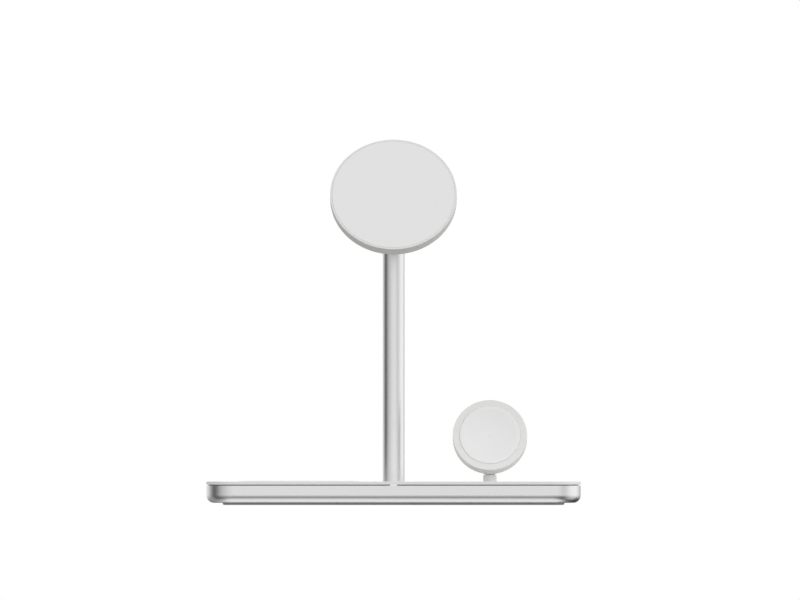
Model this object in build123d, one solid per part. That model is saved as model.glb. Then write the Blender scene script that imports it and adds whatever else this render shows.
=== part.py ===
from build123d import *
import os
from math import cos, radians, sin, tan

# Charging stand for a phone, a watch and earbuds. Sizes are in millimetres.
# X runs to the right seen from the front, Y to the back, Z up from the table.
# The origin is the middle of the footprint.

# Base: outline, and heights from the table up
base_width = 165.4
base_depth = 90.0
base_corner_r = 12.0
foot_height = 0.95
tray_height = 7.67
groove_height = 0.38
plate_thickness = 1.4

# Tray: walls, lower edge, rim, and the seal behind the groove
tray_wall = 2.5
tray_floor = 1.8
tray_edge_r = 3.3
tray_rim_bevel = 0.06
groove_depth = 0.95

# Foot pad let into the underside
foot_inset = 7.2
foot_recess = 0.6
foot_fit = 0.1
foot_edge_r = 0.8

# Top plate: edge and the skirt that finds the tray
plate_edge_r = 0.3
plate_hole_fit = 0.15
skirt_depth = 1.1
skirt_wall = 1.2
skirt_fit = 0.15

# Ballast plate on the tray floor
ballast_thickness = 2.0
ballast_gap = 0.5

# Screws driven up from beneath, hidden by the foot pad
screw_d = 2.0
screw_head_d = 3.8
screw_head_height = 1.1
screw_head_gap = 0.3
screw_cover_gap = 0.05
screw_grip = 1.0
screw_fit = 0.06
cover_screw_inset = 13.0
cover_screw_tip_gap = 0.9
cover_post_d = 5.5
tray_boss_d = 8.0

# Main board and what stands on it
board_gap = 1.0
board_standoff = 0.8
board_thickness = 1.0
board_screw_inset = 4.5
board_screw_d = 2.0
board_screw_head_d = 3.6
board_screw_head_height = 0.9
board_screw_bite = 1.5
board_spacer_d = 4.6
chip_height = 0.9
controller_size = 8.0
driver_size = 5.0
inductor_size = 6.0
inductor_height = 1.5
driver_row = 19.0
controller_row = 30.0
driver_pitch = 14.0
connector_length = 4.0
connector_width = 5.0
connector_height = 1.7

# Status light
light_width = 3.1
light_fit = 0.02
light_leg = 1.5
light_leg_inset = 5.1
led_size = 1.4
led_height = 0.6
led_gap = 0.1

# Power socket in the rear wall
port_width = 8.94
port_height = 3.2
port_length = 7.35
port_wall = 0.3
port_recess = 0.3
port_fit = 0.15
tongue_width = 6.7
tongue_thickness = 0.7
tongue_length = 5.2
plug_length = 1.4
plug_fit = 0.05

# Leads
lead_d = 1.5
lead_gap = 0.3
lead_bend_r = 1.6
lead_end_gap = 0.1

# Earbud station
earbud_x = -41.9
earbud_y = -4.3
earbud_pad_d = 55.0
earbud_pad_rise = 0.3
earbud_crown_width = 5.4
earbud_pad_inlay = 0.6
earbud_pad_fit = 0.08
earbud_coil_d = 42.0
earbud_coil_hole_d = 20.0
earbud_coil_thickness = 1.2
earbud_ferrite_thickness = 0.8
earbud_stack_gap = 0.15
earbud_carrier_wall = 1.8
earbud_carrier_gap = 0.5

# Pole
pole_rear_inset = 25.0
pole_d = 9.7
pole_wall = 1.5
pole_fit = 0.04
pole_foot_d = 22.0
pole_foot_thickness = 3.6
pole_spigot_length = 22.0
pole_screw_circle_d = 15.6
pole_screw_count = 3
pole_screw_bite = 2.6

# Tilting hinge behind the phone disc
hinge_offset = 7.3
hinge_pin_d = 3.0
hinge_pin_length = 8.8
hinge_pin_play = 0.05
hinge_pin_seat = 0.02
washer_d = 7.0
washer_thickness = 0.4
washer_gap = 0.1
washer_seat = 0.05
lug_thickness = 3.5
lug_height = 8.0
lug_base_d = 14.0
lug_base_thickness = 1.8
lug_base_edge_r = 0.5
lug_edge_r = 0.3
lug_root_r = 0.6
lug_screw_spread = 9.2
lug_screw_d = 1.6
lug_screw_head_d = 3.0
lug_screw_head_height = 0.7
lug_screw_bite = 1.4
yoke_drop = 9.0
yoke_floor_drop = 5.4
yoke_spigot_length = 12.0
yoke_edge_r = 0.4

# Phone disc, measured along its own axis from the face
phone_face_height = 137.3
phone_tilt = 30.0
phone_d = 56.0
phone_thickness = 6.4
phone_back_r = 2.4
phone_rim_r = 0.15
phone_rim_width = 0.8
phone_rim_drop = 0.05
phone_back_wall = 1.4
phone_face_thickness = 1.0
phone_face_edge_r = 0.1
phone_face_fit = 0.05
phone_stack_gap = 0.05
phone_coil_d = 40.0
phone_coil_hole_d = 18.0
phone_coil_thickness = 1.0
phone_ferrite_d = 43.0
phone_ferrite_thickness = 0.7
phone_magnet_width = 3.6
phone_magnet_thickness = 1.7
phone_magnet_count = 16
phone_magnet_split = 1.5
phone_carrier_gap = 0.3
phone_lead_drop = 4.6

# Watch stand, measured along its own axis from the ring
watch_x = 42.6
watch_y = 0.0
watch_face_height = 30.95
watch_face_reach = 3.0
watch_tilt = 19.0
watch_d = 32.8
watch_thickness = 7.0
watch_back_r = 2.0
watch_rim_r = 0.3
watch_back_wall = 1.4
watch_module_d = 26.9
watch_module_rise = 0.3
watch_module_depth = 1.4
watch_module_edge_r = 0.3
watch_module_fit = 0.03
watch_lip_width = 1.5
watch_dish_depth = 0.8
watch_ledge = 1.1
watch_stem_d = 5.9
watch_stem_fillet = 0.1
watch_joint_drop = 0.12
watch_joint_height = 0.38
watch_joint_depth = 0.8
watch_stem_drop = 3.4
watch_foot_width = 14.0
watch_foot_depth = 18.0
watch_foot_corner_r = 3.0
watch_foot_thickness = 3.6
watch_screw_spread = 12.0
watch_screw_bite = 2.6
watch_coil_d = 21.0
watch_coil_hole_d = 12.0
watch_coil_thickness = 1.3
watch_magnet_d = 10.0
watch_magnet_thickness = 1.5
watch_ferrite_thickness = 0.7
watch_stack_gap = 0.05

# Heights that follow from the sizes above
tray_z = foot_height
floor_z = tray_z + tray_floor
rim_z = tray_z + tray_height
plate_z = rim_z + groove_height
top_z = plate_z + plate_thickness
ballast_z = floor_z + ballast_thickness
board_z = ballast_z + board_standoff
board_top_z = board_z + board_thickness
port_z = board_z + board_thickness / 2
lead_z = board_top_z + connector_height / 2
screw_seat_z = tray_z + foot_recess + screw_cover_gap + screw_head_height
boss_z = screw_seat_z + screw_grip
pole_foot_z = ballast_z + pole_foot_thickness
watch_foot_z = ballast_z + watch_foot_thickness

# Places that follow from the sizes above
front_y = -base_depth / 2
rear_y = base_depth / 2
pole_y = rear_y - pole_rear_inset
board_front_y = front_y + tray_wall + board_gap
board_rear_y = rear_y - tray_wall - board_gap
earbud_carrier_r = earbud_coil_d / 2 + earbud_carrier_gap + earbud_carrier_wall
board_left_x = earbud_x + earbud_carrier_r + board_gap
board_right_x = watch_x - watch_foot_width / 2 - board_gap
pole_bore_d = lead_d + 2 * lead_gap
pole_inner_d = pole_d - 2 * pole_wall
light_leg_y = front_y + light_leg_inset
hinge_arm = phone_thickness + hinge_offset
pin_z = phone_face_height - hinge_arm * sin(radians(phone_tilt))
phone_face_y = pole_y - hinge_arm * cos(radians(phone_tilt))
pole_top_z = pin_z - yoke_drop

UPRIGHT = (Align.CENTER, Align.CENTER, Align.MIN)

phone_plane = Plane(
    origin=(0, phone_face_y, phone_face_height),
    x_dir=(1, 0, 0),
    z_dir=(0, -cos(radians(phone_tilt)), sin(radians(phone_tilt))),
)
watch_plane = Plane(
    origin=(watch_x, watch_y - watch_face_reach, watch_face_height),
    x_dir=(1, 0, 0),
    z_dir=(0, -cos(radians(watch_tilt)), sin(radians(watch_tilt))),
)


# Shapes that several pieces share

def slab(inset, low, high):
    """The base outline set in by inset, between two heights."""
    width = base_width - 2 * inset
    depth = base_depth - 2 * inset
    flat = RectangleRounded(width, depth, base_corner_r - inset)
    return extrude(Plane.XY.offset(low) * flat, high - low)


def rod(x, y, diameter, low, high):
    """An upright cylinder between two heights."""
    return Pos(x, y, low) * Cylinder(diameter / 2, high - low, align=UPRIGHT)


def tube(x, y, outer_d, inner_d, low, high):
    """An upright ring between two heights."""
    return rod(x, y, outer_d, low, high) - rod(x, y, inner_d, low, high)


def block(x_low, x_high, y_low, y_high, z_low, z_high):
    """A box between its limits."""
    size = Box(x_high - x_low, y_high - y_low, z_high - z_low)
    return Pos((x_low + x_high) / 2, (y_low + y_high) / 2, (z_low + z_high) / 2) * size


def cross_rod(y, z, diameter, length):
    """A cylinder along X, centred on the pole."""
    return Pos(0, y, z) * Rot(0, 90, 0) * Cylinder(diameter / 2, length)


def rounded_disc(diameter, low, high, low_r, high_r):
    """A disc with both rims rounded."""
    disc = rod(0, 0, diameter, low, high)
    disc = fillet(disc.edges().group_by(Axis.Z)[0], low_r)
    return fillet(disc.edges().group_by(Axis.Z)[-1], high_r)


def upward_screw(x, y, tip_z):
    """A screw from beneath: head under its seat, shank up to the tip."""
    head = rod(x, y, screw_head_d, screw_seat_z - screw_head_height, screw_seat_z)
    return head + rod(x, y, screw_d, screw_seat_z, tip_z)


def upward_screw_hole(x, y):
    """Clearance for the head and shank of an upward screw, through the tray."""
    head = rod(x, y, screw_head_d + 2 * screw_head_gap, tray_z, screw_seat_z)
    return head + rod(x, y, screw_d + 2 * screw_fit, screw_seat_z, ballast_z)


def shank_hole(x, y, low, high):
    """The hole that takes the shank of an upward screw."""
    return rod(x, y, screw_d + 2 * screw_fit, low, high)


def watch_foot_outline(margin, low, high):
    """The foot of the watch stand, grown by margin, between two heights."""
    flat = RectangleRounded(
        watch_foot_width + 2 * margin, watch_foot_depth + 2 * margin, watch_foot_corner_r + margin
    )
    return extrude(Plane.XY.offset(low) * Pos(watch_x, watch_y) * flat, high - low)


def port_outline(margin):
    """Section of the power socket across the rear wall, grown by margin."""
    flat = SlotOverall(port_width + 2 * margin, port_height + 2 * margin)
    return Plane(origin=(0, rear_y, port_z), x_dir=(1, 0, 0), z_dir=(0, -1, 0)) * flat


def bent_lead(x, y, start_x, end_z):
    """A lead that runs level along X at the board, then turns straight up."""
    path = FilletPolyline((start_x, y, lead_z), (x, y, lead_z), (x, y, end_z), radius=lead_bend_r)
    section = Plane(origin=path @ 0, z_dir=path % 0) * Circle(lead_d / 2)
    return sweep(section, path)


# Where the fasteners stand

def cover_screw_points():
    """The four corners where the tray is screwed to the top plate."""
    x = base_width / 2 - cover_screw_inset
    y = base_depth / 2 - cover_screw_inset
    return [(-x, -y), (x, -y), (x, y), (-x, y)]


def pole_screw_points():
    """Screws of the pole foot, spaced round the pole."""
    turn = 360 / pole_screw_count
    angles = [radians(90 + turn * number) for number in range(pole_screw_count)]
    radius = pole_screw_circle_d / 2
    return [(radius * cos(angle), pole_y + radius * sin(angle)) for angle in angles]


def watch_screw_points():
    """Screws of the watch stand, before and behind the stem."""
    return [(watch_x, watch_y - watch_screw_spread / 2), (watch_x, watch_y + watch_screw_spread / 2)]


def board_screw_points():
    """The four corners of the main board."""
    left = board_left_x + board_screw_inset
    right = board_right_x - board_screw_inset
    front = board_front_y + board_screw_inset
    rear = board_rear_y - board_screw_inset
    return [(left, front), (right, front), (right, rear), (left, rear)]


def connector_places():
    """Middle of each lead connector on the main board."""
    reach = board_gap + connector_length / 2
    pole = (pole_foot_d / 2 + 2 * board_gap + connector_length / 2, pole_y)
    earbud = (board_left_x + reach, earbud_y)
    watch = (board_right_x - reach, watch_y)
    return pole, earbud, watch


# Base

def base_tray():
    """Tray with its fixing platforms, screw holes and socket opening."""
    tray = slab(0, tray_z, rim_z)
    tray = fillet(tray.edges().group_by(Axis.Z)[0], tray_edge_r)
    tray = chamfer(tray.edges().group_by(Axis.Z)[-1], tray_rim_bevel)
    tray -= slab(tray_wall, floor_z, rim_z)
    tray -= slab(foot_inset - foot_fit, tray_z, tray_z + foot_recess)
    tray += rod(0, pole_y, pole_foot_d, floor_z, ballast_z)
    tray += watch_foot_outline(0, floor_z, ballast_z)
    for x, y in cover_screw_points():
        tray += rod(x, y, tray_boss_d, floor_z, boss_z)
    for x, y in cover_screw_points() + pole_screw_points() + watch_screw_points():
        tray -= upward_screw_hole(x, y)
    tray -= extrude(port_outline(port_fit), tray_wall)
    return tray


def cover_seal():
    """Rubber seal between rim and cover, which holds the groove open round the light window."""
    seal = slab(groove_depth, rim_z, plate_z) - slab(tray_wall, rim_z, plate_z)
    half = light_width / 2 + light_fit
    return seal - block(-half, half, front_y, front_y + tray_wall, rim_z, plate_z)


def foot_pad():
    """Rubber pad let into the underside of the tray."""
    pad = slab(foot_inset, 0, tray_z + foot_recess)
    return fillet(pad.edges().group_by(Axis.Z)[0], foot_edge_r)


def ballast_plate():
    """Steel plate that fills the tray floor round the platforms and bosses."""
    plate = slab(tray_wall + ballast_gap, floor_z, ballast_z)
    plate -= rod(0, pole_y, pole_foot_d + 2 * ballast_gap, floor_z, ballast_z)
    plate -= watch_foot_outline(ballast_gap, floor_z, ballast_z)
    for x, y in cover_screw_points():
        plate -= rod(x, y, tray_boss_d + 2 * ballast_gap, floor_z, ballast_z)
    for x, y in board_screw_points():
        plate -= rod(x, y, board_screw_d + 2 * screw_fit, floor_z, ballast_z)
    half = port_width / 2 + ballast_gap
    notch_y = rear_y - port_recess - port_length - ballast_gap
    plate -= block(-half, half, notch_y, rear_y, floor_z, ballast_z)
    return plate


def top_plate():
    """White cover with its skirt, screw posts, and holes for pole and watch stem."""
    plate = slab(0, plate_z, top_z)
    plate = fillet(plate.edges().group_by(Axis.Z)[-1], plate_edge_r)
    skirt_inset = tray_wall + skirt_fit
    skirt = slab(skirt_inset, plate_z - skirt_depth, plate_z)
    skirt -= slab(skirt_inset + skirt_wall, plate_z - skirt_depth, plate_z)
    half = light_width / 2 + lead_gap
    skirt -= block(-half, half, front_y, light_leg_y, plate_z - skirt_depth, plate_z)
    plate += skirt
    for x, y in cover_screw_points():
        plate += rod(x, y, cover_post_d, boss_z, plate_z)
        plate -= shank_hole(x, y, boss_z, plate_z)
    plate -= rod(0, pole_y, pole_d + 2 * plate_hole_fit, plate_z, top_z)
    plate -= rod(watch_x, watch_y, watch_stem_d + 2 * plate_hole_fit, plate_z, top_z)
    plate -= rod(earbud_x, earbud_y, earbud_pad_d + 2 * earbud_pad_fit, top_z - earbud_pad_inlay, top_z)
    return plate


def cover_screws():
    """Four screws that draw the top plate onto the tray."""
    return [upward_screw(x, y, plate_z - cover_screw_tip_gap) for x, y in cover_screw_points()]


# Main board

def main_board():
    """Circuit board that keeps clear of the pole foot and holds the socket in a notch."""
    board = block(board_left_x, board_right_x, board_front_y, board_rear_y, board_z, board_top_z)
    board -= rod(0, pole_y, pole_foot_d + 2 * board_gap, board_z, board_top_z)
    half = port_width / 2 + port_fit
    notch_y = rear_y - port_recess - port_length - port_fit
    board -= block(-half, half, notch_y, board_rear_y, board_z, board_top_z)
    for x, y in board_screw_points():
        board -= rod(x, y, board_screw_d + 2 * screw_fit, board_z, board_top_z)
    return board


def board_spacers():
    """Spacers that lift the board off the ballast plate."""
    hole_d = board_screw_d + 2 * screw_fit
    return [tube(x, y, board_spacer_d, hole_d, ballast_z, board_z) for x, y in board_screw_points()]


def board_screws():
    """Screws from the board into the ballast plate."""
    screws = []
    for x, y in board_screw_points():
        head = rod(x, y, board_screw_head_d, board_top_z, board_top_z + board_screw_head_height)
        screws.append(head + rod(x, y, board_screw_d, ballast_z - board_screw_bite, board_top_z))
    return screws


def board_part(x, y, length, width, height):
    """A rectangular part that stands on the board."""
    top = board_top_z + height
    return block(x - length / 2, x + length / 2, y - width / 2, y + width / 2, board_top_z, top)


def board_chips():
    """Controller in the middle of the board and a row of charging drivers before it."""
    middle = (board_left_x + board_right_x) / 2
    chips = [board_part(middle, front_y + controller_row, controller_size, controller_size, chip_height)]
    for step in (-1, 0, 1):
        x = middle + driver_pitch * step
        chips.append(board_part(x, front_y + driver_row, driver_size, driver_size, chip_height))
    return chips


def board_inductors():
    """Power inductors to the left and right of the controller."""
    middle = (board_left_x + board_right_x) / 2
    places = [middle - driver_pitch, middle + driver_pitch]
    return [
        board_part(x, front_y + controller_row, inductor_size, inductor_size, inductor_height) for x in places
    ]


def lead_connectors():
    """Plug blocks for the leads of the pole, the earbud coil and the watch coil."""
    size = (connector_length, connector_width, connector_height)
    return [board_part(x, y, *size) for x, y in connector_places()]


def status_led():
    """Small lamp under the leg of the light pipe."""
    return board_part(0, light_leg_y - light_leg / 2, led_size, led_size, led_height)


def light_pipe():
    """Clear bar from the lamp up over the tray wall to the window in the groove."""
    half = light_width / 2
    bar = block(-half, half, front_y, light_leg_y, rim_z + light_fit, plate_z - light_fit)
    leg_low = board_top_z + led_height + led_gap
    return bar + block(-half, half, light_leg_y - light_leg, light_leg_y, leg_low, plate_z - light_fit)


def usb_c_shell():
    """Metal shell of the power socket, open to the rear."""
    outer = extrude(port_outline(0), port_length)
    inner = extrude(port_outline(-port_wall), port_length)
    return Pos(0, -port_recess, 0) * (outer - inner)


def usb_c_tongue():
    """Contact tongue on the plug that closes the inner end of the shell."""
    inner_y = rear_y - port_recess - port_length
    plug = extrude(port_outline(-port_wall - plug_fit), plug_length)
    plug = Pos(0, inner_y + plug_length - rear_y, 0) * plug
    half_width = tongue_width / 2
    half_thickness = tongue_thickness / 2
    tip_y = inner_y + plug_length + tongue_length
    low = port_z - half_thickness
    return plug + block(-half_width, half_width, inner_y + plug_length, tip_y, low, low + tongue_thickness)


# Earbud station

earbud_coil_z = plate_z - earbud_stack_gap - earbud_coil_thickness
earbud_ferrite_z = earbud_coil_z - earbud_ferrite_thickness
earbud_cavity_d = earbud_coil_d + 2 * earbud_carrier_gap


def earbud_pad():
    """Soft pad let into the top plate, with a gently crowned edge."""
    radius = earbud_pad_d / 2
    low = top_z - earbud_pad_inlay
    high = top_z + earbud_pad_rise
    flat_r = radius - earbud_crown_width
    side = Polyline((flat_r, high), (0, high), (0, low), (radius, low), (radius, top_z))
    crown = TangentArc((flat_r, high), (radius, top_z), tangent=(1, 0))
    face = Plane.XZ * make_face(side + crown)
    return Pos(earbud_x, earbud_y, 0) * revolve(face, Axis.Z)


def earbud_coil():
    """Flat coil just under the top plate."""
    high = earbud_coil_z + earbud_coil_thickness
    return tube(earbud_x, earbud_y, earbud_coil_d, earbud_coil_hole_d, earbud_coil_z, high)


def earbud_ferrite():
    """Shield disc under the coil."""
    return rod(earbud_x, earbud_y, earbud_coil_d, earbud_ferrite_z, earbud_coil_z)


def earbud_carrier():
    """Cup on the ballast plate that holds shield and coil, notched for the lead."""
    high = plate_z - earbud_stack_gap
    cup = rod(earbud_x, earbud_y, 2 * earbud_carrier_r, ballast_z, high)
    cup -= rod(earbud_x, earbud_y, earbud_cavity_d, earbud_ferrite_z, high)
    half = lead_d / 2 + lead_gap
    cup -= block(earbud_x, board_left_x, earbud_y - half, earbud_y + half, lead_z - half, high)
    return cup


def earbud_lead():
    """Lead from the coil to its connector."""
    pole, earbud, watch = connector_places()
    start = earbud_x + earbud_coil_d / 2 + lead_end_gap
    length = earbud[0] - connector_length / 2 - start
    return Pos(start + length / 2, earbud_y, lead_z) * Rot(0, 90, 0) * Cylinder(lead_d / 2, length)


# Pole and hinge

def pole_foot():
    """Flange on the tray with a hollow spigot up into the pole and a slot for the lead."""
    foot = rod(0, pole_y, pole_foot_d, ballast_z, pole_foot_z)
    foot += rod(0, pole_y, pole_inner_d - 2 * pole_fit, pole_foot_z, pole_foot_z + pole_spigot_length)
    half = lead_d / 2 + lead_gap
    foot -= rod(0, pole_y, pole_bore_d + 2 * lead_gap, lead_z - half, pole_foot_z + pole_spigot_length)
    foot -= block(0, pole_foot_d / 2, pole_y - half, pole_y + half, lead_z - half, pole_foot_z)
    for x, y in pole_screw_points():
        foot -= shank_hole(x, y, ballast_z, ballast_z + pole_screw_bite + screw_fit)
    return foot


def pole_foot_screws():
    """Screws from beneath into the pole foot."""
    return [upward_screw(x, y, ballast_z + pole_screw_bite) for x, y in pole_screw_points()]


def pole_tube():
    """Straight tube from the pole foot to the yoke."""
    return tube(0, pole_y, pole_d, pole_inner_d, pole_foot_z, pole_top_z)


def pole_harness():
    """Lead from the main board through the foot and up the pole."""
    pole, earbud, watch = connector_places()
    return bent_lead(0, pole_y, pole[0] - connector_length / 2, pin_z - yoke_floor_drop)


def pole_yoke():
    """Fork on top of the pole, with a round head and a hollow spigot."""
    yoke = rod(0, pole_y, pole_d, pole_top_z, pin_z + pole_d / 2)
    head = cross_rod(pole_y, pin_z, pole_d, pole_d)
    half = pole_d / 2
    neck = block(-half, half, pole_y - half, pole_y + half, pole_top_z, pin_z)
    yoke = yoke & (head + neck)
    yoke += rod(0, pole_y, pole_inner_d - 2 * pole_fit, pole_top_z - yoke_spigot_length, pole_top_z)
    slot = lug_thickness / 2 + washer_gap + washer_thickness + washer_seat
    yoke -= block(-slot, slot, pole_y - half, pole_y + half, pin_z - yoke_floor_drop, pin_z + half)
    yoke = fillet(yoke.edges().filter_by_position(Axis.Z, pin_z - half, pin_z + half), yoke_edge_r)
    yoke -= rod(0, pole_y, pole_bore_d, pole_top_z - yoke_spigot_length, pin_z - yoke_floor_drop)
    yoke -= cross_rod(pole_y, pin_z, hinge_pin_d + 2 * hinge_pin_seat, pole_d)
    return yoke


def hinge_pin():
    """Pin across the fork, fixed in its ears."""
    return cross_rod(pole_y, pin_z, hinge_pin_d, hinge_pin_length)


def friction_washers():
    """Washer on each side of the lug, held by the ears of the fork."""
    middle = lug_thickness / 2 + washer_gap + washer_thickness / 2
    ring = cross_rod(pole_y, pin_z, washer_d, washer_thickness)
    ring -= cross_rod(pole_y, pin_z, hinge_pin_d + 2 * hinge_pin_seat, washer_thickness)
    return [Pos(side * middle, 0, 0) * ring for side in (-1, 1)]


def lug_screw_places():
    """Screws of the lug, either side of its blade."""
    return [(-lug_screw_spread / 2, 0), (lug_screw_spread / 2, 0)]


def tilt_lug():
    """Round base on the back of the disc with the blade that turns on the pin."""
    back = -phone_thickness
    base = rod(0, 0, lug_base_d, back - lug_base_thickness, back)
    base = fillet(base.edges().group_by(Axis.Z)[0], lug_base_edge_r)
    half = lug_thickness / 2
    blade = block(-half, half, -lug_height / 2, lug_height / 2, -hinge_arm, back)
    blade += Pos(0, 0, -hinge_arm) * cross_rod(0, 0, lug_height, lug_thickness)
    sides = blade.faces().sort_by(Axis.X)
    blade = fillet(sides[0].edges() + sides[-1].edges(), lug_edge_r)
    lug = base + blade
    lug = fillet(new_edges(base, blade, combined=lug), lug_root_r)
    lug -= Pos(0, 0, -hinge_arm) * cross_rod(0, 0, hinge_pin_d + 2 * hinge_pin_play, lug_thickness)
    for x, y in lug_screw_places():
        lug -= rod(x, y, lug_screw_d + 2 * screw_fit, back - lug_screw_bite, back)
    lug -= rod(0, -phone_lead_drop, lead_d + 2 * lead_gap, back - lug_base_thickness, back)
    return phone_plane * lug


def lug_screws():
    """Screws from inside the disc into the lug."""
    screws = []
    for x, y in lug_screw_places():
        seat = phone_back_wall - lug_screw_head_height - phone_thickness
        head = rod(x, y, lug_screw_head_d, seat, seat + lug_screw_head_height)
        shank = rod(x, y, lug_screw_d, -phone_thickness - lug_screw_bite + screw_fit, seat)
        screws.append(phone_plane * (head + shank))
    return screws


# Phone disc, built along its own axis and then leaned back

phone_cavity_d = phone_d - 2 * phone_rim_width
phone_floor = phone_back_wall - phone_thickness
phone_coil_high = -phone_face_thickness - phone_stack_gap
phone_ferrite_high = phone_coil_high - phone_coil_thickness
phone_ferrite_low = phone_ferrite_high - phone_ferrite_thickness
phone_magnet_low = phone_coil_high - phone_magnet_thickness
phone_carrier_high = min(phone_ferrite_low, phone_magnet_low)
phone_magnet_d = phone_cavity_d - 2 * phone_carrier_gap


def head_shell():
    """Shell with a rounded back edge and a hollow for the parts."""
    shell = rounded_disc(phone_d, -phone_thickness, -phone_rim_drop, phone_back_r, phone_rim_r)
    shell -= rod(0, 0, phone_cavity_d, phone_floor, 0)
    for x, y in lug_screw_places():
        seat = phone_floor - lug_screw_head_height
        shell -= rod(x, y, lug_screw_head_d + 2 * screw_fit, seat, phone_floor)
        shell -= rod(x, y, lug_screw_d + 2 * screw_fit, -phone_thickness, seat)
    shell -= rod(0, -phone_lead_drop, lead_d + 2 * lead_gap, -phone_thickness, phone_floor)
    return phone_plane * shell


def head_face():
    """White face that stands a little proud of the shell rim."""
    diameter = phone_cavity_d - 2 * phone_face_fit
    face = rod(0, 0, diameter, -phone_face_thickness, 0)
    return phone_plane * fillet(face.edges().group_by(Axis.Z)[-1], phone_face_edge_r)


def phone_coil():
    """Flat coil behind the face."""
    low = phone_coil_high - phone_coil_thickness
    return phone_plane * tube(0, 0, phone_coil_d, phone_coil_hole_d, low, phone_coil_high)


def phone_ferrite():
    """Shield disc behind the coil."""
    return phone_plane * rod(0, 0, phone_ferrite_d, phone_ferrite_low, phone_ferrite_high)


def phone_magnets():
    """Ring of arc magnets round the coil."""
    turn = 360 / phone_magnet_count
    middle_r = phone_magnet_d / 2 - phone_magnet_width / 2
    middle_z = phone_coil_high - phone_magnet_thickness / 2
    section = Plane.XZ * Pos(middle_r, middle_z) * Rectangle(phone_magnet_width, phone_magnet_thickness)
    arc = revolve(section, Axis.Z, revolution_arc=turn - phone_magnet_split)
    return [phone_plane * Rot(0, 0, turn * number) * arc for number in range(phone_magnet_count)]


def head_carrier():
    """Plastic carrier between the parts and the back of the shell."""
    carrier = rod(0, 0, phone_magnet_d, phone_floor, phone_carrier_high)
    carrier -= rod(0, -phone_lead_drop, lead_d + 2 * lead_gap, phone_floor, phone_carrier_high)
    return phone_plane * carrier


def head_lead():
    """Short lead from the coil out through the back of the disc."""
    low = -phone_thickness - lug_base_thickness
    return phone_plane * rod(0, -phone_lead_drop, lead_d, low, phone_carrier_high - lead_end_gap)


# Watch stand, built along its own axis and then leaned back

watch_recess_d = watch_module_d + 2 * watch_module_fit
watch_cavity_d = watch_module_d - 2 * watch_ledge
watch_floor = watch_back_wall - watch_thickness
watch_floor_y = -watch_floor * cos(radians(watch_tilt)) - watch_face_reach
watch_floor_z = watch_face_height + watch_floor * sin(radians(watch_tilt))
watch_entry_z = watch_floor_z - watch_floor_y / tan(radians(watch_tilt))
watch_stack_high = -watch_module_depth - watch_stack_gap


def watch_stand():
    """Housing, foot and the stem up into its back, with a fine joint line and a channel for the lead."""
    housing = watch_plane * rounded_disc(watch_d, -watch_thickness, 0, watch_back_r, watch_rim_r)
    stem = rod(watch_x, watch_y, watch_stem_d, watch_foot_z, watch_face_height - watch_stem_drop)
    stand = housing + stem
    stand = fillet(new_edges(housing, stem, combined=stand), watch_stem_fillet)
    joint_z = housing.bounding_box().min.Z - watch_joint_drop
    neck_d = watch_stem_d - 2 * watch_joint_depth
    stand -= tube(watch_x, watch_y, watch_stem_d, neck_d, joint_z - watch_joint_height, joint_z)
    stand += watch_foot_outline(0, ballast_z, watch_foot_z)
    stand -= watch_plane * rod(0, 0, watch_recess_d, -watch_module_depth, watch_module_rise)
    stand -= watch_plane * rod(0, 0, watch_cavity_d, watch_floor, -watch_module_depth)
    half = lead_d / 2 + lead_gap
    channel_d = lead_d + 2 * lead_gap
    channel_top = watch_entry_z + channel_d / 2 / tan(radians(watch_tilt)) + lead_gap
    stand -= rod(watch_x, watch_y, channel_d, lead_z - half, channel_top)
    stand -= block(
        board_right_x, watch_x, watch_y - half, watch_y + half, lead_z - half, watch_foot_z
    )
    for x, y in watch_screw_points():
        stand -= shank_hole(x, y, ballast_z, ballast_z + watch_screw_bite + screw_fit)
    return stand


def watch_stand_screws():
    """Screws from beneath into the foot of the watch stand."""
    return [upward_screw(x, y, ballast_z + watch_screw_bite) for x, y in watch_screw_points()]


def watch_face():
    """Raised round face with a dished middle."""
    face = rod(0, 0, watch_module_d, -watch_module_depth, watch_module_rise)
    face = fillet(face.edges().group_by(Axis.Z)[-1], watch_module_edge_r)
    dish_r = watch_module_d / 2 - watch_lip_width
    ball_r = (dish_r ** 2 + watch_dish_depth ** 2) / (2 * watch_dish_depth)
    face -= Pos(0, 0, watch_module_rise - watch_dish_depth + ball_r) * Sphere(ball_r)
    return watch_plane * face


def watch_coil():
    """Small coil behind the watch face."""
    low = watch_stack_high - watch_coil_thickness
    return watch_plane * tube(0, 0, watch_coil_d, watch_coil_hole_d, low, watch_stack_high)


def watch_magnet():
    """Magnet that centres the watch."""
    low = watch_stack_high - watch_magnet_thickness
    return watch_plane * rod(0, 0, watch_magnet_d, low, watch_stack_high)


def watch_ferrite():
    """Shield disc behind coil and magnet."""
    high = watch_stack_high - max(watch_coil_thickness, watch_magnet_thickness) - watch_stack_gap
    return watch_plane * rod(0, 0, watch_coil_d, high - watch_ferrite_thickness, high)


def watch_lead():
    """Lead from the main board up the stem to the housing."""
    pole, earbud, watch = connector_places()
    return bent_lead(watch_x, watch_y, watch[0] + connector_length / 2, watch_entry_z)


# Every piece, written under its own name

pieces = [
    base_tray, foot_pad, cover_seal, ballast_plate, top_plate, cover_screws,
    main_board, board_spacers, board_screws, board_chips, board_inductors, lead_connectors,
    status_led, light_pipe, usb_c_shell, usb_c_tongue,
    earbud_pad, earbud_coil, earbud_ferrite, earbud_carrier, earbud_lead,
    pole_foot, pole_foot_screws, pole_tube, pole_harness, pole_yoke, hinge_pin, friction_washers,
    tilt_lug, lug_screws, head_shell, head_face, phone_coil, phone_ferrite, phone_magnets,
    head_carrier, head_lead,
    watch_stand, watch_stand_screws, watch_face, watch_coil, watch_magnet, watch_ferrite, watch_lead,
]

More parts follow.
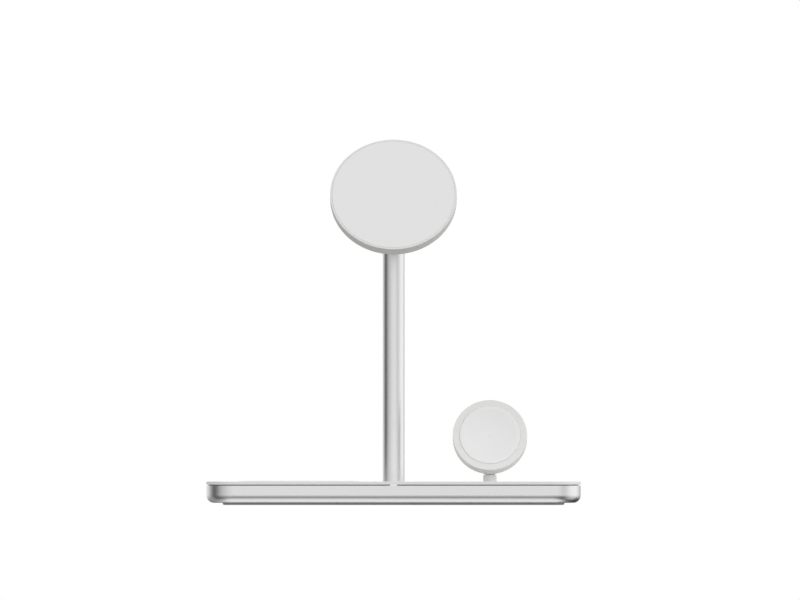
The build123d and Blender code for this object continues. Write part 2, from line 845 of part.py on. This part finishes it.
os.makedirs("parts", exist_ok=True)
for piece in pieces:
    shape = piece()
    if isinstance(shape, list):
        shape = Compound(children=shape)
    export_step(shape, "parts/" + piece.__name__ + ".step")
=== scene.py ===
import logging
import math
from abc import ABC, abstractmethod
from dataclasses import dataclass
from enum import Enum
from typing import Any

import bmesh
import bpy
from mathutils import Matrix, Vector


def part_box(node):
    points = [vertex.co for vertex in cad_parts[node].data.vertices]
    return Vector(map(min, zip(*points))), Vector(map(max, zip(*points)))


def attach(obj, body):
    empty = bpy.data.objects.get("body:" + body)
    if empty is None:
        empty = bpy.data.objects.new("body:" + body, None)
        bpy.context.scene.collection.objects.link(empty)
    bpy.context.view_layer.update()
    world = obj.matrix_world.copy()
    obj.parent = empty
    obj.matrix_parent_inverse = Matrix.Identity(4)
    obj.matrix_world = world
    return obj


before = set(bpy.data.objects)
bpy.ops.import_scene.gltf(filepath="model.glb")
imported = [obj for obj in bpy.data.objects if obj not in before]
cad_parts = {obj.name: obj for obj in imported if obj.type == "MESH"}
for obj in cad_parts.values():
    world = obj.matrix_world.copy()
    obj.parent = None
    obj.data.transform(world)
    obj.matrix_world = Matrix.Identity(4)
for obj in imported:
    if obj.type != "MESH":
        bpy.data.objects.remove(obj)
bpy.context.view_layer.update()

# Charging stand for a phone, a watch and earbuds, seen straight from the front.
# Lengths in this file are metres, as in the frame, unless a name ends in _mm.

LOG = logging.getLogger("charging_stand")
MM = 0.001
# Shape of the grain's noise: how many finer layers it has and how strong each is.
NOISE_DETAIL = 2.0
NOISE_GAIN = 0.55
# Widths that Blender's own patterns have at a scale of 1.
WAVE_RING = math.pi / 10
BRICK_ROW = 0.25
NODES: dict[str, bpy.types.Object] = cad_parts


class Body(Enum):
    """Rigid bodies that new pieces ride on."""

    STAND = "stand"


class Slot(Enum):
    """Material slots of the record."""

    COPPER_WIRE = "copper_wire"


# Colour and nodes

def linear(hex_colour: str) -> tuple[float, float, float, float]:
    """Turn an sRGB hex colour into linear RGBA.

    Args:
        hex_colour: Six hex digits, such as "E4E4E5".

    Returns:
        The colour as linear red, green, blue and an alpha of 1.
    """
    channels = [int(hex_colour[place:place + 2], 16) / 255 for place in (0, 2, 4)]
    curve = [c / 12.92 if c <= 0.04045 else ((c + 0.055) / 1.055) ** 2.4 for c in channels]
    return curve[0], curve[1], curve[2], 1.0


def add_node(
    tree: bpy.types.NodeTree,
    kind: str,
    settings: dict[str, Any] | None = None,
    values: dict[str | int, Any] | None = None,
    links: dict[str | int, bpy.types.NodeSocket] | None = None,
) -> bpy.types.Node:
    """Add one node with its settings, its input values and its incoming links.

    Args:
        tree: The node tree to add to.
        kind: Blender's name of the node type.
        settings: Properties of the node itself.
        values: Default values of its inputs, by name or place.
        links: Sockets that feed its inputs, by name or place.

    Returns:
        The new node.
    """
    node = tree.nodes.new(kind)
    for name, value in (settings or {}).items():
        setattr(node, name, value)
    for key, value in (values or {}).items():
        node.inputs[key].default_value = value
    for key, socket in (links or {}).items():
        tree.links.new(socket, node.inputs[key])
    return node


def set_ramp(node: bpy.types.Node, stops: list[tuple[float, float]]) -> None:
    """Give a colour ramp its grey stops.

    Args:
        node: A colour ramp node.
        stops: Pairs of place and grey level, in rising order of place.
    """
    elements = node.color_ramp.elements
    while len(elements) > 1:
        elements.remove(elements[-1])
    elements[0].position = stops[0][0]
    elements[0].color = (stops[0][1],) * 3 + (1.0,)
    for place, level in stops[1:]:
        elements.new(place).color = (level,) * 3 + (1.0,)


# Finishes

@dataclass(frozen=True)
class Finish(ABC):
    """A real material with a fine grain that varies its colour, gloss and height.

    Attributes:
        name: What the material is called.
        colour: sRGB hex colour of most of the surface.
        shade: sRGB hex colour that the grain drifts towards.
        roughness: Middle value of the roughness.
        roughness_spread: How far the grain moves the roughness either way.
        grain_mm: Width of one grain.
        bump_mm: Height of one grain.
    """

    name: str
    colour: str
    shade: str
    roughness: float
    roughness_spread: float = 0.04
    grain_mm: float = 0.5
    bump_mm: float = 0.004

    def material(self) -> bpy.types.Material:
        """Build the material once and reuse it afterwards.

        Returns:
            The finished material.
        """
        ready = bpy.data.materials.get(self.name)
        if ready and ready.get("finished"):
            return ready
        made = bpy.data.materials.new(self.name)
        made.use_nodes = True
        made["finished"] = True
        tree = made.node_tree
        shader = tree.nodes["Principled BSDF"]
        place = add_node(tree, "ShaderNodeTexCoord").outputs["Object"]
        grain = self.grain(tree, place)
        self.dress_colour(tree, shader, grain, place)
        self.dress_gloss(tree, shader, grain)
        self.dress_height(tree, shader, grain)
        self.set_optics(shader)
        return made

    def grain(self, tree: bpy.types.NodeTree, place: bpy.types.NodeSocket) -> bpy.types.NodeSocket:
        """Make the fine grain as a noise of the grain's real width.

        Args:
            tree: The material's node tree.
            place: Object coordinates.

        Returns:
            A socket that runs from 0 to 1.
        """
        values = {"Scale": 1 / (self.grain_mm * MM), "Detail": NOISE_DETAIL, "Roughness": NOISE_GAIN}
        noise = add_node(tree, "ShaderNodeTexNoise", values=values, links={"Vector": place})
        return noise.outputs["Fac"]

    def dress_colour(
        self,
        tree: bpy.types.NodeTree,
        shader: bpy.types.Node,
        grain: bpy.types.NodeSocket,
        place: bpy.types.NodeSocket,
    ) -> None:
        """Let the colour drift between the two tones with the grain.

        Args:
            tree: The material's node tree.
            shader: The Principled shader.
            grain: The fine grain.
            place: Object coordinates; not used here.
        """
        mix = add_node(
            tree, "ShaderNodeMix", {"data_type": "RGBA"},
            {6: linear(self.colour), 7: linear(self.shade)}, {0: grain},
        )
        tree.links.new(mix.outputs[2], shader.inputs["Base Color"])

    def dress_gloss(
        self, tree: bpy.types.NodeTree, shader: bpy.types.Node, grain: bpy.types.NodeSocket
    ) -> None:
        """Vary the roughness a little with the grain.

        Args:
            tree: The material's node tree.
            shader: The Principled shader.
            grain: The fine grain.
        """
        low = self.roughness - self.roughness_spread
        high = self.roughness + self.roughness_spread
        gloss = add_node(tree, "ShaderNodeMapRange", values={3: low, 4: high}, links={0: grain})
        tree.links.new(gloss.outputs[0], shader.inputs["Roughness"])

    def dress_height(
        self, tree: bpy.types.NodeTree, shader: bpy.types.Node, grain: bpy.types.NodeSocket
    ) -> None:
        """Raise the grain as a bump of its real height.

        Args:
            tree: The material's node tree.
            shader: The Principled shader.
            grain: The fine grain.
        """
        bump = add_node(
            tree, "ShaderNodeBump", values={"Strength": 1.0, "Distance": self.bump_mm * MM},
            links={"Height": grain},
        )
        tree.links.new(bump.outputs["Normal"], shader.inputs["Normal"])

    @abstractmethod
    def set_optics(self, shader: bpy.types.Node) -> None:
        """Set what is the same all over the surface."""


@dataclass(frozen=True)
class SatinMetal(Finish):
    """Bare, plated or anodised metal: coloured reflections, blurred by the blasted grain."""

    def set_optics(self, shader: bpy.types.Node) -> None:
        """Make the surface fully metallic."""
        shader.inputs["Metallic"].default_value = 1.0


@dataclass(frozen=True)
class MouldedPlastic(Finish):
    """Moulded plastic: the tool's spark-eroded texture over a plain pigment.

    Attributes:
        ior: Refractive index.
    """

    ior: float = 1.58

    def set_optics(self, shader: bpy.types.Node) -> None:
        """Give the plastic its refractive index."""
        shader.inputs["IOR"].default_value = self.ior


@dataclass(frozen=True)
class SoftRubber(Finish):
    """Silicone or rubber: dull, with a faint dusty sheen at grazing angles.

    Attributes:
        sheen: Weight of the sheen.
        ior: Refractive index.
    """

    sheen: float = 0.08
    ior: float = 1.41

    def set_optics(self, shader: bpy.types.Node) -> None:
        """Give the skin its index and its sheen."""
        shader.inputs["IOR"].default_value = self.ior
        shader.inputs["Sheen Weight"].default_value = self.sheen


@dataclass(frozen=True)
class FrostedWindow(Finish):
    """Opal acrylic: milky, lets light travel under its skin, with a lamp behind it.

    Attributes:
        glow: Strength of the lamp's light in the skin.
        ior: Refractive index.
        milkiness: Share of the light that travels under the skin.
        reach_mm: How far that light travels.
    """

    glow: float = 0.25
    ior: float = 1.49
    milkiness: float = 0.25
    reach_mm: float = 0.5

    def set_optics(self, shader: bpy.types.Node) -> None:
        """Scatter light a little way under the surface and let the lamp shine through.

        Args:
            shader: The Principled shader.
        """
        shader.inputs["IOR"].default_value = self.ior
        shader.inputs["Subsurface Weight"].default_value = self.milkiness
        shader.inputs["Subsurface Radius"].default_value = (1.0, 1.0, 1.0)
        shader.inputs["Subsurface Scale"].default_value = self.reach_mm * MM
        shader.inputs["Emission Color"].default_value = linear(self.colour)
        shader.inputs["Emission Strength"].default_value = self.glow


@dataclass(frozen=True)
class WoundCopper(Finish):
    """Enamelled wire wound flat: the grain is replaced by rings of the wire's pitch.

    Attributes:
        pitch_mm: Distance from one turn to the next.
        centre: Middle of the coil.
        tip_deg: How far the coil's axis is tipped forward from upright.
        coat: Weight of the lacquer.
        coat_roughness: Roughness of the lacquer.
    """

    pitch_mm: float = 0.9
    centre: tuple[float, float, float] = (0.0, 0.0, 0.0)
    tip_deg: float = 0.0
    coat: float = 0.5
    coat_roughness: float = 0.15

    def grain(self, tree: bpy.types.NodeTree, place: bpy.types.NodeSocket) -> bpy.types.NodeSocket:
        """Make rings round the coil's own axis.

        Args:
            tree: The material's node tree.
            place: Object coordinates.

        Returns:
            A socket that runs from 0 between turns to 1 on a turn.
        """
        turn = (math.radians(self.tip_deg), 0.0, 0.0)
        mapping = add_node(
            tree, "ShaderNodeMapping", {"vector_type": "TEXTURE"},
            {"Location": self.centre, "Rotation": turn}, {"Vector": place},
        )
        scale = WAVE_RING / (self.pitch_mm * MM)
        wave = add_node(
            tree, "ShaderNodeTexWave", {"wave_type": "RINGS", "rings_direction": "Z"},
            {"Scale": scale, "Distortion": 0.0}, {"Vector": mapping.outputs[0]},
        )
        return wave.outputs["Fac"]

    def set_optics(self, shader: bpy.types.Node) -> None:
        """Show copper through a clear lacquer.

        Args:
            shader: The Principled shader.
        """
        shader.inputs["Metallic"].default_value = 1.0
        shader.inputs["Coat Weight"].default_value = self.coat
        shader.inputs["Coat Roughness"].default_value = self.coat_roughness


@dataclass(frozen=True)
class PrintedBoard(Finish):
    """Circuit board: green lacquer with tracks that show through as lighter lines.

    Attributes:
        track_mm: Spacing of the tracks.
        line_share: Width of a track, as a share of the pattern.
        run: Length of a track between corners, in the pattern's units.
        coat: Weight of the clear coat.
        coat_roughness: Roughness of the clear coat.
    """

    track_mm: float = 1.2
    line_share: float = 0.03
    run: float = 2.5
    coat: float = 0.3
    coat_roughness: float = 0.2

    def dress_colour(
        self,
        tree: bpy.types.NodeTree,
        shader: bpy.types.Node,
        grain: bpy.types.NodeSocket,
        place: bpy.types.NodeSocket,
    ) -> None:
        """Lay square-cornered tracks over the lacquer.

        Args:
            tree: The material's node tree.
            shader: The Principled shader.
            grain: The fine grain; not used, as it is too fine to tint the lacquer.
            place: Object coordinates.
        """
        brick = add_node(
            tree, "ShaderNodeTexBrick", None,
            {
                "Color1": linear(self.colour), "Color2": linear(self.colour),
                "Mortar": linear(self.shade), "Mortar Size": self.line_share,
                "Brick Width": self.run, "Scale": BRICK_ROW / (self.track_mm * MM),
            },
            {"Vector": place},
        )
        tree.links.new(brick.outputs["Color"], shader.inputs["Base Color"])

    def set_optics(self, shader: bpy.types.Node) -> None:
        """Give the lacquer a clear coat."""
        shader.inputs["Coat Weight"].default_value = self.coat
        shader.inputs["Coat Roughness"].default_value = self.coat_roughness


# Bead-blasted and clear anodised: a bright, soft-edged reflection with no lines in it.
# The real blasting is about 0.1 mm; it is drawn four times as coarse so that it shows.
ANODISED_ALUMINIUM = SatinMetal(
    "anodised_aluminium", "E1E1E1", "DCDCDD",
    roughness=0.32, roughness_spread=0.03, grain_mm=0.4, bump_mm=0.0012,
)
# Fine matte moulding: even white with a soft wide highlight.
WHITE_POLYCARBONATE = MouldedPlastic(
    "white_polycarbonate", "E3E3E2", "E0E0DF",
    roughness=0.55, roughness_spread=0.05, grain_mm=0.45, bump_mm=0.003,
)
# Phone disc's shell and the watch holder: the same plastic with a coarser, duller texture.
DULL_POLYCARBONATE = MouldedPlastic(
    "dull_polycarbonate", "DCDCDA", "D9D9D7",
    roughness=0.6, roughness_spread=0.05, grain_mm=0.5, bump_mm=0.004,
)
# Raised face of the watch holder: the same moulding, polished and a little brighter.
GLOSSY_POLYCARBONATE = MouldedPlastic(
    "polished_polycarbonate", "DFDFDF", "DCDCDC",
    roughness=0.32, roughness_spread=0.04, grain_mm=0.45, bump_mm=0.001,
)
# Skin of the phone face and the earbud pad: even duller, so that nothing slides.
WHITE_SILICONE = SoftRubber(
    "white_silicone", "E3E3E3", "DFDFDF",
    roughness=0.72, roughness_spread=0.05, grain_mm=0.5, bump_mm=0.004,
)
# Foot: mid grey, dull.
FOOT_RUBBER = SoftRubber(
    "foot_rubber", "A9AAAB", "9D9E9F",
    roughness=0.82, roughness_spread=0.05, grain_mm=0.6, bump_mm=0.02, sheen=0.04,
)
# Seal behind the groove: its black is painted shade, standing in for the shade deep in the groove so
# that the groove reads as a dark line.
GROOVE_SHADE_RUBBER = SoftRubber(
    "groove_shade_rubber", "3C3C3E", "343436",
    roughness=0.8, roughness_spread=0.05, grain_mm=0.5, bump_mm=0.01, sheen=0.03,
)
# Status window: milky white, a little glossy.
OPAL_ACRYLIC = FrostedWindow(
    "opal_acrylic", "F8F8F6", "F4F4F2",
    roughness=0.35, roughness_spread=0.03, grain_mm=0.6, bump_mm=0.001,
)
# Zinc plated sheet and screws: grey, slightly uneven.
ZINC_STEEL = SatinMetal(
    "zinc_plated_steel", "C4C6C8", "AEB1B4",
    roughness=0.34, roughness_spread=0.08, grain_mm=0.8, bump_mm=0.004,
)
# Nickel plated magnets: brighter and warmer than zinc.
NICKEL_PLATE = SatinMetal(
    "nickel_plate", "CFCBC4", "C2BEB6",
    roughness=0.22, roughness_spread=0.04, grain_mm=0.9, bump_mm=0.002,
)
# Spring contacts: thin gold plating.
GOLD_PLATE = SatinMetal(
    "gold_plated_bronze", "E3C47E", "D6B368",
    roughness=0.25, roughness_spread=0.04, grain_mm=0.4, bump_mm=0.001,
)
# Sintered shield: nearly black, dull and gritty.
FERRITE = MouldedPlastic(
    "sintered_ferrite", "35363A", "2A2B2E",
    roughness=0.78, roughness_spread=0.08, grain_mm=0.35, bump_mm=0.012, ior=1.9,
)
# Carriers, chips and the socket's tongue: black moulding.
BLACK_PLASTIC = MouldedPlastic(
    "black_moulding", "1E1F21", "17181A",
    roughness=0.5, roughness_spread=0.06, grain_mm=0.4, bump_mm=0.006, ior=1.55,
)
# Spacers and plug blocks: creamy nylon.
NATURAL_NYLON = MouldedPlastic(
    "natural_nylon", "E2DFD4", "D8D4C7",
    roughness=0.48, roughness_spread=0.05, grain_mm=0.7, bump_mm=0.004, ior=1.53,
)
# Lead jackets: smooth dark vinyl.
VINYL_JACKET = SoftRubber(
    "vinyl_jacket", "2A2A2C", "222224",
    roughness=0.5, roughness_spread=0.05, grain_mm=0.8, bump_mm=0.004, sheen=0.0,
)
# Board: green lacquer over copper tracks.
CIRCUIT_BOARD = PrintedBoard(
    "lacquered_circuit_board", "1E5A37", "3C7A52",
    roughness=0.35, roughness_spread=0.05, grain_mm=0.5, bump_mm=0.004,
)


def coil_finish(node: str, lean_deg: float) -> WoundCopper:
    """Wound copper whose rings are centred on a coil.

    Args:
        node: The coil's CAD node.
        lean_deg: How far the coil leans back; 90 lies flat.

    Returns:
        The finish.
    """
    low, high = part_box(node)
    centre = tuple((low + high) / 2)
    name = "wound_copper_" + node
    return WoundCopper(
        name, "C98A5A", "8A4E2B",
        roughness=0.3, roughness_spread=0.08, grain_mm=0.9, bump_mm=0.05,
        pitch_mm=0.9, centre=centre, tip_deg=90.0 - lean_deg,
    )


# Mesh helpers

def add_piece(
    name: str, mesh: bmesh.types.BMesh, body: Body, finish: Finish, sharp_deg: float = 35.0
) -> bpy.types.Object:
    """Turn a bmesh into a finished piece that rides on a body.

    Args:
        name: Name of the piece.
        mesh: Its shape, already in place.
        body: The body that it moves with.
        finish: Its material.
        sharp_deg: Edges that turn by more than this stay sharp.

    Returns:
        The new object.
    """
    bmesh.ops.recalc_face_normals(mesh, faces=mesh.faces)
    for face in mesh.faces:
        face.smooth = True
    data = bpy.data.meshes.new(name)
    mesh.to_mesh(data)
    mesh.free()
    data.set_sharp_from_angle(angle=math.radians(sharp_deg))
    piece = bpy.data.objects.new(name, data)
    bpy.context.scene.collection.objects.link(piece)
    data.materials.append(finish.material())
    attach(piece, body.value)
    LOG.info("%s: %d faces on %s", name, len(data.polygons), body.value)
    return piece


def dress(finish: Finish, *names: str) -> None:
    """Give CAD nodes their finish.

    Args:
        finish: The material.
        names: Nodes that are made of it.
    """
    for name in names:
        data = NODES[name].data
        data.materials.clear()
        data.materials.append(finish.material())
        LOG.info("%s: %s", name, finish.name)


# Sub-assemblies

@dataclass
class Base:
    """Tray, foot, top plate, status window and earbud pad."""

    def finish(self) -> None:
        """Dress the shells of the base."""
        dress(ANODISED_ALUMINIUM, "base_tray")
        dress(WHITE_POLYCARBONATE, "top_plate")
        dress(FOOT_RUBBER, "foot_pad")
        # The seal's black is painted shade for the groove under the top plate.
        dress(GROOVE_SHADE_RUBBER, "cover_seal")
        dress(OPAL_ACRYLIC, "light_pipe")
        dress(WHITE_SILICONE, "earbud_pad")


@dataclass
class PowerSocket:
    """Socket in the rear wall, with the contacts on its tongue.

    Attributes:
        contact_count: Contacts on each side of the tongue.
        pitch: From one contact to the next.
        width: Width of a contact.
        height: How far a contact stands out of the tongue.
        length: Length of a contact.
        tip_inset: From the tongue's tip to the contacts.
        tongue_half: Half the thickness of the tongue.
        edge: Bevel of a contact's edges.
    """

    contact_count: int = 12
    pitch: float = 0.5 * MM
    width: float = 0.26 * MM
    height: float = 0.04 * MM
    length: float = 3.4 * MM
    tip_inset: float = 0.4 * MM
    tongue_half: float = 0.35 * MM
    edge: float = 0.015 * MM

    def finish(self) -> None:
        """Dress the shell and the tongue, and lay the contacts."""
        dress(ZINC_STEEL, "usb_c_shell")
        dress(BLACK_PLASTIC, "usb_c_tongue")
        self.build_contacts()

    def build_contacts(self) -> bpy.types.Object:
        """Lay a row of contacts on both faces of the tongue.

        Returns:
            The contacts, as one piece.
        """
        low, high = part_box("usb_c_tongue")
        middle_z = (low.z + high.z) / 2
        middle_y = high.y - self.tip_inset - self.length / 2
        mesh = bmesh.new()
        for side in (-1, 1):
            for number in range(self.contact_count):
                x = (number - (self.contact_count - 1) / 2) * self.pitch
                z = middle_z + side * (self.tongue_half + self.height / 2)
                size = Matrix.Diagonal((self.width, self.length, self.height, 1.0))
                spot = Matrix.Translation((x, middle_y, z))
                bmesh.ops.create_cube(mesh, size=1.0, matrix=spot @ size)
        bmesh.ops.bevel(
            mesh, geom=mesh.edges[:], offset=self.edge, affect="EDGES", segments=1, profile=0.5,
            material=-1,
        )
        return add_piece("socket_contacts", mesh, Body.STAND, GOLD_PLATE)


@dataclass
class Pole:
    """Tube, yoke, pin and washers."""

    def finish(self) -> None:
        """Dress the pole and its hinge."""
        dress(ANODISED_ALUMINIUM, "pole_tube", "pole_yoke", "pole_foot")
        dress(ZINC_STEEL, "hinge_pin", "friction_washers")


@dataclass
class PhoneDisc:
    """Round head that tilts on the pole.

    Attributes:
        lean_deg: How far it leans back at rest.
    """

    lean_deg: float = 30.0

    def finish(self) -> None:
        """Dress the shell, the face and what is inside."""
        dress(DULL_POLYCARBONATE, "head_shell")
        dress(WHITE_SILICONE, "head_face")
        dress(ANODISED_ALUMINIUM, "tilt_lug")
        dress(ZINC_STEEL, "lug_screws")
        dress(NICKEL_PLATE, "phone_magnets")
        dress(FERRITE, "phone_ferrite")
        dress(BLACK_PLASTIC, "head_carrier")
        dress(VINYL_JACKET, "head_lead")
        dress(coil_finish("phone_coil", self.lean_deg), "phone_coil")


@dataclass
class WatchHolder:
    """Leaning holder with a raised, dished face.

    Attributes:
        lean_deg: How far it leans back.
    """

    lean_deg: float = 19.0

    def finish(self) -> None:
        """Dress the moulding and what is inside."""
        dress(DULL_POLYCARBONATE, "watch_stand")
        dress(GLOSSY_POLYCARBONATE, "watch_face")
        dress(ZINC_STEEL, "watch_stand_screws")
        dress(NICKEL_PLATE, "watch_magnet")
        dress(FERRITE, "watch_ferrite")
        dress(VINYL_JACKET, "watch_lead")
        dress(coil_finish("watch_coil", self.lean_deg), "watch_coil")


@dataclass
class Electronics:
    """What the base hides."""

    def finish(self) -> None:
        """Dress the ballast, the board and the earbud coil."""
        dress(ZINC_STEEL, "ballast_plate", "cover_screws", "board_screws", "pole_foot_screws")
        dress(CIRCUIT_BOARD, "main_board")
        dress(NATURAL_NYLON, "board_spacers", "lead_connectors", "status_led")
        dress(BLACK_PLASTIC, "board_chips", "earbud_carrier")
        dress(FERRITE, "board_inductors", "earbud_ferrite")
        dress(VINYL_JACKET, "pole_harness", "earbud_lead")
        dress(coil_finish("earbud_coil", 90.0), "earbud_coil")


# Studio

@dataclass(frozen=True)
class LightBand:
    """A belt of light above or below the horizon.

    Attributes:
        start_deg: Degrees above the horizon where it begins to take over; negative below it.
        full_deg: Degrees above the horizon from where it has taken over; negative below it.
        levels: Brightness by degrees to the right of the camera.
    """

    start_deg: float
    full_deg: float
    levels: list[tuple[float, float]]


# Brightness on the horizon, by degrees to the right of the camera: a black flag stands on the left,
# a soft box on the right, with a gap between it and the one in front and another gap behind it.
HORIZON_LEVELS = [
    (-180, 1.00), (-150, 1.10), (-128, 0.88), (-114, 0.52), (-102, 0.14), (-94, 0.03),
    (-78, 0.04), (-66, 0.44), (-50, 0.68), (-5, 1.06), (20, 1.10), (46, 0.72),
    (66, 1.03), (80, 1.20), (115, 1.26), (140, 0.80), (158, 0.42), (180, 0.95),
]
# Above it soft boxes and a dimmer ceiling.
SOFT_BOXES = LightBand(
    start_deg=6, full_deg=28,
    levels=[(-180, 0.60), (-90, 1.10), (0, 1.70), (90, 1.90), (180, 0.60)],
)
CEILING = LightBand(start_deg=42, full_deg=66, levels=[(-180, 0.45), (180, 0.45)])
# Below it dark cloth with a few pale gaps, the edge of the table and the pale table underneath.
DARK_CLOTH = LightBand(
    start_deg=2, full_deg=-25,
    levels=[
        (-180, 0.10), (-125, 0.42), (-100, 0.20), (-75, 0.06), (-25, 0.34), (0, 0.28),
        (25, 0.05), (50, 0.05), (75, 0.60), (105, 0.72), (130, 0.02), (180, 0.02),
    ],
)
TABLE_EDGE = LightBand(
    start_deg=-36, full_deg=-56,
    levels=[
        (-180, 1.10), (-140, 0.40), (-100, 0.25), (-60, 0.45), (0, 1.10),
        (45, 0.12), (85, 0.00), (148, 0.00), (180, 1.15),
    ],
)
TABLE = LightBand(start_deg=-56, full_deg=-74, levels=[(-180, 1.10), (180, 1.10)])
# Each band is laid over the ones before it.
LIGHT_BANDS = [SOFT_BOXES, CEILING, DARK_CLOTH, TABLE_EDGE, TABLE]


@dataclass
class Studio:
    """Pale floor, soft light all round and the camera.

    Attributes:
        pixels_per_mm: Scale of the picture.
        centre_x: Right of the stand's middle that the picture's centre shows.
        centre_z: Height above the floor that the picture's centre shows.
        elevation_deg: How far the camera looks down.
        frame_width_px: Width of the picture.
        camera_distance: From the stand to the camera.
        clip_near: Nearest that the camera sees.
        clip_far: Farthest that the camera sees.
        floor_size: Width and depth of the floor.
        floor_colour: sRGB hex colour of the floor.
        floor_roughness: Roughness of the floor.
    """

    pixels_per_mm: float = 2.2629
    centre_x: float = 2.85 * MM
    centre_z: float = 90.6 * MM
    elevation_deg: float = 0.0
    frame_width_px: int = 800
    camera_distance: float = 1.0
    clip_near: float = 0.01
    clip_far: float = 10.0
    floor_size: float = 3.0
    floor_colour: str = "F3F3F3"
    floor_roughness: float = 0.9

    def build(self) -> None:
        """Make the floor, the world and the camera."""
        self.build_floor()
        self.build_world()
        self.build_camera()
        bpy.context.scene.view_settings.view_transform = "Standard"

    def build_floor(self) -> None:
        """Lay a pale matte floor under the foot."""
        mesh = bmesh.new()
        bmesh.ops.create_grid(mesh, x_segments=1, y_segments=1, size=self.floor_size / 2)
        data = bpy.data.meshes.new("floor")
        mesh.to_mesh(data)
        mesh.free()
        floor = bpy.data.objects.new("floor", data)
        bpy.context.scene.collection.objects.link(floor)
        material = bpy.data.materials.new("studio_floor")
        material.use_nodes = True
        shader = material.node_tree.nodes["Principled BSDF"]
        shader.inputs["Base Color"].default_value = linear(self.floor_colour)
        shader.inputs["Roughness"].default_value = self.floor_roughness
        shader.inputs["Specular IOR Level"].default_value = 0.0
        data.materials.append(material)
        # The floor is for the eye: the studio's own lower bands light the stand from below.
        floor.visible_glossy = False
        floor.visible_diffuse = False
        floor.visible_shadow = False

    def build_world(self) -> None:
        """Light the stand from all round; the eye and clear parts see plain white behind it.

        Metal mirrors the studio that lights it, which is white with its black flags.
        """
        world = bpy.data.worlds.new("studio")
        bpy.context.scene.world = world
        world.use_nodes = True
        tree = world.node_tree
        tree.nodes.clear()
        way = add_node(tree, "ShaderNodeTexCoord").outputs["Generated"]
        axes = add_node(tree, "ShaderNodeSeparateXYZ", links={0: way})
        turn = self.turn_socket(tree, axes)
        rise = add_node(tree, "ShaderNodeMath", {"operation": "ARCSINE"}, None, {0: axes.outputs["Z"]})
        light = self.level_socket(tree, turn, HORIZON_LEVELS)
        for band in LIGHT_BANDS:
            share = add_node(
                tree, "ShaderNodeMapRange", {"interpolation_type": "SMOOTHSTEP"},
                {1: math.radians(band.start_deg), 2: math.radians(band.full_deg)}, {0: rise.outputs[0]},
            )
            mix = add_node(
                tree, "ShaderNodeMix", {"data_type": "RGBA"}, None,
                {0: share.outputs[0], 6: light, 7: self.level_socket(tree, turn, band.levels)},
            )
            light = mix.outputs[2]
        path = add_node(tree, "ShaderNodeLightPath")
        plain = add_node(
            tree, "ShaderNodeMath", {"operation": "MAXIMUM"}, None,
            {0: path.outputs["Is Camera Ray"], 1: path.outputs["Is Transmission Ray"]},
        )
        seen = add_node(
            tree, "ShaderNodeMix", {"data_type": "RGBA"}, {7: (1.0, 1.0, 1.0, 1.0)},
            {0: plain.outputs[0], 6: light},
        )
        background = add_node(
            tree, "ShaderNodeBackground", None, {"Strength": 1.0}, {0: seen.outputs[2]}
        )
        add_node(tree, "ShaderNodeOutputWorld", links={0: background.outputs[0]})

    @staticmethod
    def turn_socket(tree: bpy.types.NodeTree, axes: bpy.types.Node) -> bpy.types.NodeSocket:
        """Measure how far a direction lies to the right of the camera.

        Args:
            tree: The world's node tree.
            axes: The node that splits the direction into its axes.

        Returns:
            A socket that runs from 0 behind the stand, through the left, the camera and the right, to 1.
        """
        towards = add_node(
            tree, "ShaderNodeMath", {"operation": "MULTIPLY"}, {1: -1.0}, {0: axes.outputs["Y"]}
        )
        angle = add_node(
            tree, "ShaderNodeMath", {"operation": "ARCTAN2"}, None,
            {0: axes.outputs["X"], 1: towards.outputs[0]},
        )
        limits = {1: -math.pi, 2: math.pi, 3: 0.0, 4: 1.0}
        return add_node(tree, "ShaderNodeMapRange", None, limits, {0: angle.outputs[0]}).outputs[0]

    @staticmethod
    def level_socket(
        tree: bpy.types.NodeTree, turn: bpy.types.NodeSocket, levels: list[tuple[float, float]]
    ) -> bpy.types.NodeSocket:
        """Turn a list of brightnesses round the stand into a socket.

        Args:
            tree: The world's node tree.
            turn: The direction, from 0 to 1.
            levels: Pairs of degrees to the right of the camera and brightness.

        Returns:
            The brightness in that direction.
        """
        ramp = add_node(tree, "ShaderNodeValToRGB", links={0: turn})
        set_ramp(ramp, [(0.5 + degrees / 360, level) for degrees, level in levels])
        return ramp.outputs[0]

    def build_camera(self) -> None:
        """Set up a flat view from the front."""
        data = bpy.data.cameras.new("camera")
        data.type = "ORTHO"
        data.ortho_scale = self.frame_width_px / self.pixels_per_mm * MM
        data.clip_start = self.clip_near
        data.clip_end = self.clip_far
        camera = bpy.data.objects.new("camera", data)
        bpy.context.scene.collection.objects.link(camera)
        lean = math.radians(self.elevation_deg)
        back = Vector((0.0, -math.cos(lean), math.sin(lean)))
        camera.location = Vector((self.centre_x, 0.0, self.centre_z)) + back * self.camera_distance
        camera.rotation_euler = (math.pi / 2 - lean, 0.0, 0.0)
        bpy.context.scene.camera = camera


def main() -> None:
    """Dress every part of the stand and set up the studio."""
    logging.basicConfig(level=logging.INFO, format="%(name)s: %(message)s")
    for part in (Base(), PowerSocket(), Pole(), PhoneDisc(), WatchHolder(), Electronics()):
        part.finish()
    Studio().build()


if __name__ == "__main__":
    main()
